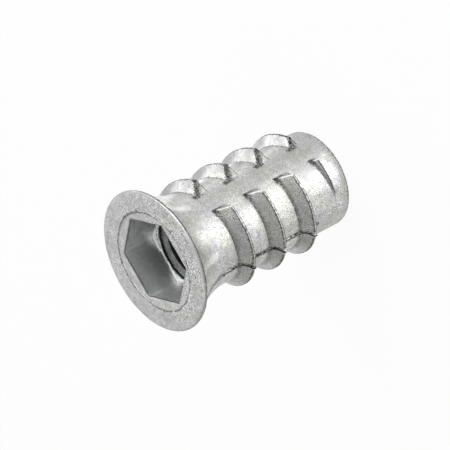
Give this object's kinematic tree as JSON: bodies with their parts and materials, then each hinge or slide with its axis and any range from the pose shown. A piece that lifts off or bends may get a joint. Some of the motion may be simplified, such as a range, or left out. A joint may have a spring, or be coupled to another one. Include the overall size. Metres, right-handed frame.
{
  "type": "threaded insert",
  "caption": "Flanged die-cast insert for wood, with a hex socket, a tapped bore through it and a coarse interrupted outer thread.",
  "frame": {"origin": "centre of the tail end face, which the insert stands on", "axes": "+Z along the insert's axis, from the tail end to the flange face; +X through a corner of the hex socket and the middle of a thread-free band"},
  "size_m": [0.0144, 0.0144, 0.021],
  "materials": {
    "cast_zinc": "as die-cast, satin"
  },
  "bodies": {
    "root": {"insert_body": "cast_zinc"}
  },
  "joints": []
}
